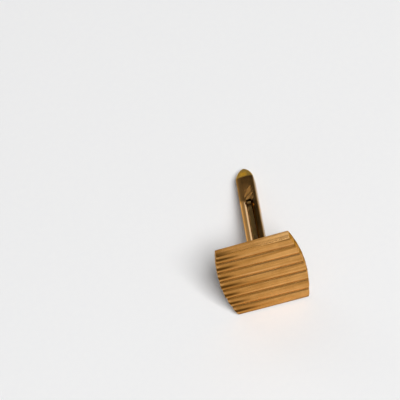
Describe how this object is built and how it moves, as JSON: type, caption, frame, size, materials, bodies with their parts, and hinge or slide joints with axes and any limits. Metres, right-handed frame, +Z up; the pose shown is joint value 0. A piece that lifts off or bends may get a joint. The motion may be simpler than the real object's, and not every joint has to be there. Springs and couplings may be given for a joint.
{
  "type": "cufflink",
  "caption": "Gold-tone cufflink: reeded barrel-shaped face on a flat post with a slotted bullet toggle that swivels across the cuff to hold it shut.",
  "frame": {"origin": "on the table, under the middle of the link as it lies on its rim and the toggle's nose", "axes": "+X along the reeds, +Y from the face towards the toggle's nose, +Z up"},
  "size_m": [0.016, 0.0304, 0.0155],
  "materials": {
    "satin_gold": "gold plate, polished reeds with a fine lengthwise grain",
    "polished_gold": "gold plate, polished",
    "raw_brass": "bare brass, unpolished",
    "spring_bronze": "hard phosphor bronze strip"
  },
  "bodies": {
    "link": {"face_shell": "satin_gold", "back_plate": "polished_gold", "tenon_washer": "raw_brass", "post_collar": "polished_gold", "post": "polished_gold"},
    "toggle": {"toggle_bar": "polished_gold", "pivot_rivet": "polished_gold", "detent_spring": "spring_bronze", "spring_pin": "polished_gold"}
  },
  "joints": [
    {"name": "toggle_swivel", "type": "hinge", "parent": "link", "child": "toggle", "pos_m": [0, 0.00397, 0.00356], "axis": [1, 0, 0], "range_deg": [-90, 90]}
  ]
}
